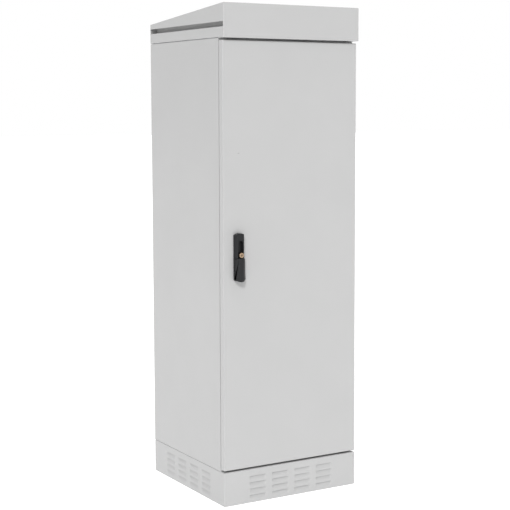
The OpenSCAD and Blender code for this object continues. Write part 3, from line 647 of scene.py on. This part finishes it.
class LouvredWalls(Pattern):
    """Fills one wall with rows of pressed louvres and turns it to every side."""

    def __init__(self) -> None:
        """Builds the tree."""
        super().__init__(
            "louvred_walls",
            {
                "Object": ["Louvre"],
                "Int": ["Columns", "Rows", "Sides"],
                "Float": ["Pitch across", "Pitch up", "Low edge", "Wall offset"],
            },
        )
        columns, rows = self.given("Columns"), self.given("Rows")
        across, up = self.given("Pitch across"), self.given("Pitch up")
        wide, tall = (columns - 1.0) * across, (rows - 1.0) * up
        inputs = {"Size X": wide, "Size Y": tall}
        inputs.update({"Vertices X": columns, "Vertices Y": rows})
        grid = self.add("GeometryNodeMeshGrid", None, inputs)
        middle = self.given("Low edge") + 0.5 * tall
        inputs = {"Y": -1.0 * self.given("Wall offset"), "Z": middle}
        shift = self.add("ShaderNodeCombineXYZ", None, inputs)
        inputs = {"Geometry": grid, "Translation": shift}
        inputs["Rotation"] = (QUARTER, 0.0, 0.0)
        seats = self.add("GeometryNodeTransform", None, inputs)
        inputs = {"Points": seats, "Instance": self.shape("Louvre")}
        louvres = self.add("GeometryNodeInstanceOnPoints", None, inputs)
        inputs = {"Geometry": [self.given("Geometry"), louvres]}
        wall = self.add("GeometryNodeJoinGeometry", None, inputs)
        inputs = {"Count": self.given("Sides"), "Offset": (0.0,) * 3}
        posts = self.add("GeometryNodeMeshLine", None, inputs)
        turn = self.add("GeometryNodeInputIndex") * QUARTER
        spin = self.add("ShaderNodeCombineXYZ", None, {"Z": turn})
        inputs = {"Points": posts, "Instance": wall, "Rotation": spin}
        sides = self.add("GeometryNodeInstanceOnPoints", None, inputs)
        real = self.add("GeometryNodeRealizeInstances", None, {"Geometry": sides})
        joined = {"Geometry": real, "Distance": 0.02 * MM}
        self.close(self.add("GeometryNodeMergeByDistance", None, joined))


class ScrewPattern(Pattern):
    """Sets one screw at every seat, turned to the seat's own direction."""

    def __init__(self) -> None:
        """Builds the tree."""
        super().__init__("screw_pattern", {"Object": ["Screw"]})
        settings = {"data_type": "FLOAT_VECTOR"}
        aim = self.add("GeometryNodeInputNamedAttribute", settings, {"Name": "aim"})
        inputs = {"Vector": aim}
        turned = self.add("FunctionNodeAlignRotationToVector", {"axis": "Z"}, inputs)
        inputs = {"Points": self.given("Geometry"), "Rotation": turned}
        inputs["Instance"] = self.shape("Screw")
        self.close(self.add("GeometryNodeInstanceOnPoints", None, inputs))


class SealRun(Pattern):
    """Runs a seal's section round a closed path with rounded corners."""

    def __init__(self) -> None:
        """Builds the tree."""
        inputs = {"Object": ["Section"], "Float": ["Corner"], "Int": ["Steps"]}
        super().__init__("seal_run", inputs)
        inputs = {"Mesh": self.given("Geometry")}
        path = self.add("GeometryNodeMeshToCurve", None, inputs)
        inputs = {
            "Curve": path,
            "Count": self.given("Steps"),
            "Radius": self.given("Corner"),
            "Limit Radius": True,
        }
        round_path = self.add("GeometryNodeFilletCurve", {"mode": "POLY"}, inputs)
        inputs = {"Curve": round_path}
        level = self.add("GeometryNodeSetCurveNormal", {"mode": "Z_UP"}, inputs)
        inputs = {"Mesh": self.shape("Section")}
        section = self.add("GeometryNodeMeshToCurve", None, inputs)
        inputs = {"Curve": level, "Profile Curve": section}
        self.close(self.add("GeometryNodeCurveToMesh", None, inputs))


# ---------- plinth ----------


@dataclass
class Plinth:
    """Folded plinth whose four walls carry louvres pressed inwards."""

    shop: Workshop
    columns: int = 4
    rows: int = 4
    pitch: float = 101 * MM
    rise: float = 25 * MM
    low_edge: float = 30 * MM
    length: float = 77 * MM
    height: float = 19 * MM
    depth: float = 4.0 * MM
    end_run: float = 8 * MM
    sheet: float = 1.5 * MM
    bend: float = 3.4 * MM
    corner: float = 3 * MM
    flange: float = 45 * MM
    flange_t: float = 2 * MM
    above: float = 3 * MM
    fold_steps: int = 4
    corner_steps: int = 6
    anchor_inset: float = 25 * MM
    anchor_radius: float = 7 * MM

    def across_lines(self) -> list[float]:
        """Places across one louvre's cell where its faces divide."""
        half = self.length / 2
        ends = [0.0, 0.06, 0.16, 0.3, 0.48, 0.7, 1.0]
        left = [-half + self.end_run * e for e in ends]
        flat = half - self.end_run
        middle = [flat * s for s in (-0.6, -0.2, 0.2, 0.6)]
        right = [-x for x in reversed(left)]
        return [-self.pitch / 2, *left, *middle, *right, self.pitch / 2]

    def up_lines(self) -> list[float]:
        """Places down one louvre's face, from its upper edge."""
        drops = [0.0, 0.14, 0.32, 0.5, 0.68, 0.84, 0.94, 1.0]
        return [-self.height * d for d in drops] + [self.above - self.rise]

    def dish(self, x: float, z: float) -> float:
        """How deep the louvre is pressed, x from its middle and z over its edge."""
        down = -z / self.height
        past = max(0.0, abs(x) - (self.length / 2 - self.end_run)) / self.end_run
        left = max(0.0, 1.0 - math.hypot(down, past))
        return self.depth * left * left * (3.0 - 2.0 * left)

    def louvre(self) -> bpy.types.Object:
        """One cell of the wall: flat round its edge, pressed in under a slit."""
        work = bmesh.new()
        xs, zs = self.across_lines(), self.up_lines()
        lip = [work.verts.new((x, 0.0, 0.0)) for x in xs]
        crown = [work.verts.new((x, 0.0, self.above)) for x in xs]
        rows = [[work.verts.new((x, self.dish(x, z), z)) for x in xs] for z in zs]
        for upper, lower in [(crown, lip), *zip(rows, rows[1:])]:
            for i in range(len(xs) - 1):
                work.faces.new((upper[i], lower[i], lower[i + 1], upper[i + 1]))
        bmesh.ops.remove_doubles(work, verts=work.verts, dist=0.01 * MM)
        return self.shop.filled(work, "plinth_louvre")

    def surround(self, half: float, top: float) -> bpy.types.Object:
        """The wall round the louvres, its upper and lower bends and one corner.

        Args:
            half: Half the wall's length.
            top: The plinth's height.

        Returns:
            An open sheet whose outside faces -Y.
        """
        field_x = self.columns * self.pitch / 2
        cells = [
            (c - (self.columns - 1) / 2) * self.pitch + x
            for c in range(self.columns)
            for x in self.across_lines()[:-1]
        ]
        xs = [-half + self.corner, *cells, field_x, half - self.corner]
        low = self.low_edge + self.above - self.rise
        levels = [
            self.low_edge + r * self.rise + z
            for r in range(self.rows)
            for z in reversed([self.above, *self.up_lines()[:-1]])
        ]
        flat_low, flat_high = self.bend, top - self.bend
        zs = sorted({round(z, 7) for z in [flat_low, low, *levels, flat_high]})
        arc = [QUARTER * i / self.fold_steps for i in range(1, self.fold_steps + 1)]
        fold = [(self.bend * (1 - math.cos(a)), self.bend * math.sin(a)) for a in arc]
        section = [(inset, flat_low - drop) for inset, drop in reversed(fold)]
        section += [(0.0, z) for z in zs]
        section += [(inset, flat_high + lift) for inset, lift in fold]
        work = bmesh.new()
        grid = []
        for inset, z in section:
            row = [work.verts.new((x, inset - half, z)) for x in xs]
            turn = self.corner - inset
            for i in range(1, self.corner_steps + 1):
                a = QUARTER * i / self.corner_steps
                centre = half - self.corner
                spot = (centre + turn * math.sin(a), -centre - turn * math.cos(a), z)
                row.append(work.verts.new(spot))
            grid.append(row)
        top_level = self.low_edge + (self.rows - 1) * self.rise + self.above
        for lower, upper in zip(grid, grid[1:]):
            for i in range(len(lower) - 1):
                middle = (lower[i].co + upper[i + 1].co) / 2
                if abs(middle.x) < field_x and low < middle.z < top_level:
                    if max(abs(y + half) for y in (lower[i].co.y, middle.y)) < MERGE:
                        continue
                work.faces.new((lower[i], lower[i + 1], upper[i + 1], upper[i]))
        return self.shop.filled(work, "plinth_walls")

    def build(self) -> None:
        """Makes the walls and the two flanges."""
        low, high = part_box("plinth")
        half, top = (high.x - low.x) / 2, high.z
        walls = self.surround(half, top)
        louvre = self.louvre()
        values = {"Louvre": louvre, "Columns": self.columns, "Rows": self.rows}
        values.update({"Pitch across": self.pitch, "Pitch up": self.rise})
        values.update({"Low edge": self.low_edge, "Wall offset": half, "Sides": 4})
        values["Finish"] = self.shop.palette.by_slot[Slot.PAINT]
        LouvredWalls().apply(walls, values)
        thick = walls.modifiers.new("sheet", "SOLIDIFY")
        thick.thickness = self.sheet
        thick.offset = -1.0
        self.shop.baked(walls)
        bpy.data.objects.remove(louvre)
        walls.data.shade_smooth()
        walls.data.set_sharp_from_angle(angle=math.radians(38))
        self.shop.hang(walls, "cabinet", Slot.PAINT, ["plinth"])
        bolts = self.seats("plinth_bolts")
        anchors = self.anchors(half)
        for name, z0, holes in (
            ("plinth_foot_flange", 0.0, anchors),
            ("plinth_top_flange", top - self.flange_t, bolts),
        ):
            edge = half - self.bend + 0.1 * MM
            plate = FlatPlate(self.shop).cut(name, edge, self.flange, holes)
            plate.data.transform(Matrix.Translation((0.0, 0.0, z0)))
            self.shop.hang(plate, "cabinet", Slot.PAINT)

    def seats(self, node: str) -> list[Triple]:
        """Centre and bore radius of the holes that a node's screws pass."""
        return [(s.seat.x, s.seat.y, s.shank) for s in screws_of(self.shop, node)]

    def anchors(self, half: float) -> list[Triple]:
        """Centre and radius of the ground anchors' holes."""
        far = half - self.anchor_inset
        signs = (-1, 1)
        radius = self.anchor_radius
        return [(sx * far, sy * far, radius) for sx in signs for sy in signs]


def ring(radius: float, sides: int) -> list[Pair]:
    """Points of a regular polygon round zero."""
    angles = [math.tau * i / sides for i in range(sides)]
    return [(radius * math.cos(a), radius * math.sin(a)) for a in angles]


@dataclass
class FlatPlate:
    """Square ring of sheet with round holes."""

    shop: Workshop
    thickness: float = 2 * MM

    def cut(
        self, name: str, half: float, width: float, holes: list[Triple]
    ) -> bpy.types.Object:
        """Cuts a ring that lies on z = 0.

        Args:
            name: The piece's name.
            half: Half its outer side.
            width: Width of the ring, from the plinth's outside.
            holes: Centre and radius of each hole.

        Returns:
            The piece.
        """
        drawing = bpy.data.curves.new(name, "CURVE")
        drawing.dimensions = "2D"
        drawing.fill_mode = "BOTH"
        drawing.extrude = self.thickness / 2
        inner = half + 2.5 * MM - width
        for s in (half, inner):
            self.outline(drawing, [(s, s), (-s, s), (-s, -s), (s, -s)])
        for x, y, radius in holes:
            self.outline(drawing, [(x + u, y + v) for u, v in ring(radius, 24)])
        sheet = bpy.data.objects.new(name, drawing)
        bpy.context.scene.collection.objects.link(sheet)
        bpy.context.view_layer.update()
        mesh = bpy.data.meshes.new_from_object(sheet)
        bpy.data.objects.remove(sheet)
        bpy.data.curves.remove(drawing)
        mesh.transform(Matrix.Translation((0.0, 0.0, self.thickness / 2)))
        work = bmesh.new()
        work.from_mesh(mesh)
        bmesh.ops.remove_doubles(work, verts=work.verts, dist=MERGE)
        bmesh.ops.recalc_face_normals(work, faces=work.faces)
        bpy.data.meshes.remove(mesh)
        return self.shop.filled(work, name)

    def outline(self, drawing: bpy.types.Curve, points: list[Pair]) -> None:
        """Adds a closed outline to the drawing."""
        line = drawing.splines.new("POLY")
        line.points.add(len(points) - 1)
        for spot, (x, y) in zip(line.points, points):
            spot.co = (x, y, 0.0, 1.0)
        line.use_cyclic_u = True


# ---------- screws ----------


@dataclass(frozen=True)
class Screw:
    """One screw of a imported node: its seat, direction and sizes."""

    seat: Vector
    aim: Vector
    head_r: float
    head_h: float
    shank: float
    length: float
    head: Head


def screws_of(shop: Workshop, node: str) -> list[Screw]:
    """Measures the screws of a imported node.

    Args:
        shop: The workshop that holds the nodes.
        node: A node whose separate solids are screws.

    Returns:
        One entry for each screw.
    """
    work = bmesh.new()
    work.from_mesh(shop.nodes[node].data)
    bmesh.ops.remove_doubles(work, verts=work.verts, dist=MERGE)
    left = set(work.verts)
    found = []
    while left:
        island, edge = set(), [left.pop()]
        while edge:
            vert = edge.pop()
            island.add(vert)
            near = [e.other_vert(vert) for e in vert.link_edges]
            fresh = [v for v in near if v in left]
            left.difference_update(fresh)
            edge.extend(fresh)
        found.append(measured([v.co.copy() for v in island]))
    work.free()
    return sorted(found, key=lambda s: tuple(round(c, 5) for c in s.seat))


def measured(points: list[Vector]) -> Screw:
    """Reads a screw's sizes from its corners."""
    low = Vector(min(p[i] for p in points) for i in range(3))
    high = Vector(max(p[i] for p in points) for i in range(3))
    size = high - low
    pairs = [abs(size[(i + 1) % 3] - size[(i + 2) % 3]) for i in range(3)]
    axis = pairs.index(min(pairs))
    centre = (low + high) / 2
    unit = Vector([1.0 if i == axis else 0.0 for i in range(3)])
    spokes = [p - centre for p in points]
    radii = [(o - unit * o.dot(unit)).length for o in spokes]
    head_r = max(radii)
    heads = [p.dot(unit) for p, r in zip(points, radii) if r > 0.9 * head_r]
    shank = min(r for r in radii if r > 0.1 * MM)
    up = 1.0 if sum(heads) / len(heads) > centre.dot(unit) else -1.0
    foot = min(h * up for h in heads)
    top = max(p.dot(unit) * up for p in points)
    bottom = min(p.dot(unit) * up for p in points)
    seat = centre + unit * (up * foot - centre.dot(unit))
    kind = Head.HEX if len(heads) <= 14 else Head.PAN
    return Screw(seat, unit * up, head_r, top - foot, shank, foot - bottom, kind)


@dataclass
class Fixings:
    """The screws: chamfered hex heads with washers, and recessed pan heads."""

    shop: Workshop
    tree: ScrewPattern = field(default_factory=ScrewPattern)

    def turned(self, profile: list[Pair], sides: int) -> bmesh.types.BMesh:
        """A closed shape turned round Z from radius and height pairs."""
        work = bmesh.new()
        rings = []
        for radius, z in profile:
            if radius < MERGE:
                rings.append([work.verts.new((0.0, 0.0, z))])
                continue
            rings.append([work.verts.new((x, y, z)) for x, y in ring(radius, sides)])
        for low, high in zip(rings, rings[1:]):
            for i in range(sides):
                j = (i + 1) % sides
                corners = [low[i % len(low)], low[j % len(low)]]
                corners += [high[j % len(high)], high[i % len(high)]]
                unique = list(dict.fromkeys(corners))
                if len(unique) > 2:
                    work.faces.new(unique)
        bmesh.ops.recalc_face_normals(work, faces=work.faces)
        return work

    def blank(self, screw: Screw) -> bpy.types.Object:
        """One screw with its head up and its seat at z = 0, used as a pattern."""
        r, h, s, tip = screw.head_r, screw.head_h, screw.shank, -screw.length
        mesh = bpy.data.meshes.new("screw_blank")
        work = bmesh.new()
        if screw.head is Head.HEX:
            rim, foot = 0.94 * r, 0.1 * h
            washer = self.turned([(0, 0), (r, 0), (r, 0.18 * h), (0, 0.18 * h)], 24)
            flats = [(0, foot), (rim, foot), (rim, 0.86 * h), (0.8 * r, h), (0, h)]
            head = self.turned(flats, 6)
        else:
            washer = None
            edge, low = 0.32 * r, h - 0.45 * h
            dome = [(r, 0), (r, 0.35 * h), (0.93 * r, 0.66 * h), (0.74 * r, 0.9 * h)]
            crown = [(0.5 * r, h), (edge, h), (0.8 * edge, low), (0, low)]
            head = self.turned([(0, 0), *dome, *crown], 24)
        thread = [(0, 0.1 * h), (s, 0.1 * h), (s, 0.9 * tip), (0.75 * s, tip), (0, tip)]
        shaft = self.turned(thread, 16)
        for part in filter(None, (washer, head, shaft)):
            part.to_mesh(mesh)
            part.free()
            work.from_mesh(mesh)
        work.to_mesh(mesh)
        work.free()
        return self.shop.link(mesh, "screw_blank")

    def set_out(self, node: str, body: str) -> None:
        """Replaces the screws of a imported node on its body."""
        screws = screws_of(self.shop, node)
        for head in Head:
            chosen = [s for s in screws if s.head is head]
            if not chosen:
                continue
            mesh = bpy.data.meshes.new("seats")
            mesh.from_pydata([s.seat for s in chosen], [], [])
            aims = mesh.attributes.new("aim", "FLOAT_VECTOR", "POINT")
            aims.data.foreach_set("vector", [c for s in chosen for c in s.aim])
            piece = self.shop.link(mesh, f"{node}_{head.value}")
            blank = self.blank(chosen[0])
            finish = self.shop.palette.by_slot[Slot.ZINC]
            self.tree.apply(piece, {"Screw": blank, "Finish": finish})
            self.shop.baked(piece)
            bpy.data.objects.remove(blank)
            piece.data.shade_smooth()
            piece.data.set_sharp_from_angle(angle=math.radians(30))
            self.shop.hang(piece, body, Slot.ZINC, [node])


# ---------- skins, door and gear ----------


@dataclass
class Door:
    """Door pan with rounded folds, and the foam seal behind it."""

    shop: Workshop
    seal_corner: float = 14 * MM
    seal_width: float = 12 * MM

    def build(self) -> None:
        """Makes the pan and the seal."""
        pan = EdgeSoftener(self.shop, bend=2.1 * MM).from_node("door_panel", "door_pan")
        coat = self.shop.palette.door_paint
        self.shop.hang(pan, "door", Slot.PAINT, ["door_panel"], coat)
        self.seal()

    def seal(self) -> None:
        """Runs a domed foam seal round the opening."""
        low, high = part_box("door_seal")
        width, depth = self.seal_width, high.y - low.y
        half_w, half_h = (high.x - low.x - width) / 2, (high.z - low.z - width) / 2
        path = bpy.data.meshes.new("seal_path")
        turns = [(-1, -1), (1, -1), (1, 1), (-1, 1)]
        corners = [(x * half_w, y * half_h, 0.0) for x, y in turns]
        path.from_pydata(corners, [(i, (i + 1) % 4) for i in range(4)], [])
        drawn = bpy.data.meshes.new("seal_section")
        crown = [math.pi * i / 12 for i in range(13)]
        foot, rise = 0.45 * depth, 0.55 * depth
        dome = [(width / 2 * math.cos(a), foot + rise * math.sin(a)) for a in crown]
        outline = [(width / 2, 0.0), *dome, (-width / 2, 0.0)]
        ends = [(i, (i + 1) % len(outline)) for i in range(len(outline))]
        drawn.from_pydata([(x, y, 0.0) for x, y in outline], ends, [])
        section = self.shop.link(drawn, "seal_section")
        seal = self.shop.link(path, "door_foam_seal")
        finish = self.shop.palette.by_slot[Slot.RUBBER]
        values = {"Section": section, "Corner": self.seal_corner, "Steps": 6}
        values["Finish"] = finish
        SealRun().apply(seal, values)
        self.shop.baked(seal)
        bpy.data.objects.remove(section)
        self.stand_up(seal, low, high)
        seal.data.shade_smooth()
        seal.data.set_sharp_from_angle(angle=math.radians(50))
        self.shop.hang(seal, "door", Slot.RUBBER, ["door_seal"])

    def stand_up(self, seal: bpy.types.Object, low: Vector, high: Vector) -> None:
        """Turns the flat run upright, with its dome to the rear, in its place."""
        work = bmesh.new()
        work.from_mesh(seal.data)
        tall = max(v.co.z for v in work.verts) > 1.0 * MM
        spin = Euler((-QUARTER if tall else QUARTER, 0.0, 0.0)).to_matrix()
        bmesh.ops.transform(work, matrix=spin.to_4x4(), verts=work.verts)
        middle = (low + high) / 2
        shift = Vector((middle.x, low.y, middle.z))
        bmesh.ops.translate(work, vec=shift, verts=work.verts)
        bmesh.ops.remove_doubles(work, verts=work.verts, dist=MERGE)
        bmesh.ops.recalc_face_normals(work, faces=work.faces)
        work.to_mesh(seal.data)
        work.free()


@dataclass
class SoftenedParts:
    """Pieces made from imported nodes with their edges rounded."""

    shop: Workshop

    def dress(
        self,
        nodes: Iterable[str],
        ending: str,
        body: str,
        slot: Slot,
        edges: EdgeSoftener,
    ) -> None:
        """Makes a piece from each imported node.

        Args:
            nodes: The nodes' names.
            ending: What a piece's name has after its node's name.
            body: The body that the pieces ride on.
            slot: Their finish.
            edges: How their edges are rounded.
        """
        for node in nodes:
            piece = edges.from_node(node, f"{node}_{ending}")
            self.shop.hang(piece, body, slot, [node])

    def build(self) -> None:
        """Makes the skins, the hood, the handle and the formed ironwork."""
        fold = EdgeSoftener(self.shop, bend=2.4 * MM)
        panels = ("side_panel_left", "side_panel_right", "rear_panel")
        self.dress(panels, "skin", "cabinet", Slot.PAINT, fold)
        hood = EdgeSoftener(self.shop, bend=1.8 * MM)
        self.dress(["roof_hood"], "folded", "cabinet", Slot.PAINT, hood)
        moulded = EdgeSoftener(self.shop, bend=1.8 * MM, fine=0.7 * MM, segments=4)
        self.dress(["handle_housing"], "finished", "door", Slot.BLACK, moulded)
        self.dress(["lever"], "finished", "lever", Slot.BLACK, moulded)
        turned = EdgeSoftener(self.shop, bend=0.7 * MM, fine=0.3 * MM)
        self.dress(["lock_body"], "finished", "door", Slot.BRASS, turned)
        self.dress(["lock_plug"], "finished", "lock", Slot.BRASS, turned)
        formed = EdgeSoftener(self.shop, bend=0.8 * MM, fine=0.35 * MM, segments=2)
        places = ("lower", "middle", "upper")
        fixed = ["keeper_upper", "keeper_lower", *(f"hinge_leaf_{p}" for p in places)]
        carried = ["rod_guides", *(f"door_leaf_{p}" for p in places)]
        self.dress(["cable_grommet"], "dressed", "cabinet", Slot.RUBBER, formed)
        self.dress(["earth_bar"], "dressed", "cabinet", Slot.COPPER, formed)
        self.dress(fixed, "dressed", "cabinet", Slot.ZINC, formed)
        self.dress(carried, "dressed", "door", Slot.ZINC, formed)


@dataclass
class Framework:
    """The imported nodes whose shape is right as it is."""

    shop: Workshop

    def build(self) -> None:
        """Gives every node that still shows its finish."""
        for name, node in sorted(self.shop.nodes.items()):
            if node.hide_render:
                continue
            slot = Slot(node.material_slots[0].material.name.split(".")[0])
            node.material_slots[0].material = self.shop.palette.by_slot[slot]
            log.info("%s keeps its shape, finish %s", name, slot.value)


# ---------- studio ----------


@dataclass(frozen=True)
class SoftLight:
    """A far, wide light; its height, bearing and spread are in degrees."""

    name: str
    energy: float
    height: float
    bearing: float
    spread: float


@dataclass
class Studio:
    """Pale floor, soft light and the camera."""

    shop: Workshop
    camera_at: Triple = (-2.6027, -4.4790, 1.5154)
    yaw: float = 31.051
    pitch: float = -5.793
    roll: float = -0.099
    lens: float = 90.756
    shift: tuple[float, float] = (-0.03335, -0.03335)
    sky: float = 0.40
    lights: tuple[SoftLight, ...] = (
        SoftLight("key_light", energy=2.15, height=37.0, bearing=-37.0, spread=15.0),
        SoftLight("skylight", energy=1.2, height=90.0, bearing=0.0, spread=70.0),
    )

    def build(self) -> None:
        """Sets the floor, lights, surroundings and camera."""
        self.floor()
        self.surroundings()
        for light in self.lights:
            self.soft_light(light)
        self.camera()
        bpy.context.scene.view_settings.view_transform = "Standard"

    def floor(self) -> None:
        """Lays a wide floor."""
        work = bmesh.new()
        bmesh.ops.create_grid(work, x_segments=8, y_segments=8, size=60.0)
        floor = self.shop.filled(work, "studio_floor")
        floor.data.materials.append(StudioFloor().material("studio_floor"))

    def surroundings(self) -> None:
        """An even pale studio all round."""
        world = bpy.data.worlds.new("studio")
        world.use_nodes = True
        backdrop = Board(world.node_tree)
        backdrop.tree.nodes.clear()
        seen = backdrop.add("ShaderNodeLightPath", out="Is Camera Ray")
        level = self.sky + (1.0 - self.sky) * seen
        inputs = {"Color": (1.0, 1.0, 1.0, 1.0), "Strength": level}
        glow = backdrop.add("ShaderNodeBackground", None, inputs)
        backdrop.place("ShaderNodeOutputWorld", None, {"Surface": glow})
        bpy.context.scene.world = world

    def soft_light(self, light: SoftLight) -> None:
        """Adds one wide soft light from far off."""
        data = bpy.data.lights.new(light.name, "SUN")
        data.energy = light.energy
        data.angle = math.radians(light.spread)
        panel = bpy.data.objects.new(light.name, data)
        tilt, bearing = math.radians(90.0 - light.height), math.radians(light.bearing)
        panel.rotation_euler = (tilt, 0.0, bearing)
        bpy.context.scene.collection.objects.link(panel)

    def camera(self) -> None:
        """Stands the camera in front of the cabinet's left corner."""
        data = bpy.data.cameras.new("camera")
        data.lens = self.lens
        data.sensor_width = 36.0
        data.shift_x, data.shift_y = self.shift
        data.clip_end = 200.0
        view = bpy.data.objects.new("camera", data)
        bpy.context.scene.collection.objects.link(view)
        yaw, pitch, roll = (math.radians(a) for a in (self.yaw, self.pitch, self.roll))
        aim = Euler((QUARTER + pitch, 0.0, -yaw)).to_matrix()
        turn = aim @ Matrix.Rotation(roll, 3, "Z")
        view.matrix_world = Matrix.Translation(self.camera_at) @ turn.to_4x4()
        bpy.context.scene.camera = view


def main() -> None:
    """Builds the cabinet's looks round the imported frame."""
    logging.basicConfig(level=logging.INFO, format="%(message)s")
    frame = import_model()
    shop = Workshop(frame["nodes"], Palette())
    Plinth(shop).build()
    Door(shop).build()
    SoftenedParts(shop).build()
    fixings = Fixings(shop)
    for place in ("gland", "rack", "earth"):
        fixings.set_out(f"{place}_screws", "cabinet")
    for place in ("plinth", "roof"):
        fixings.set_out(f"{place}_bolts", "cabinet")
    fixings.set_out("handle_screws", "door")
    Framework(shop).build()
    Studio(shop).build()


if __name__ == "__main__":
    main()
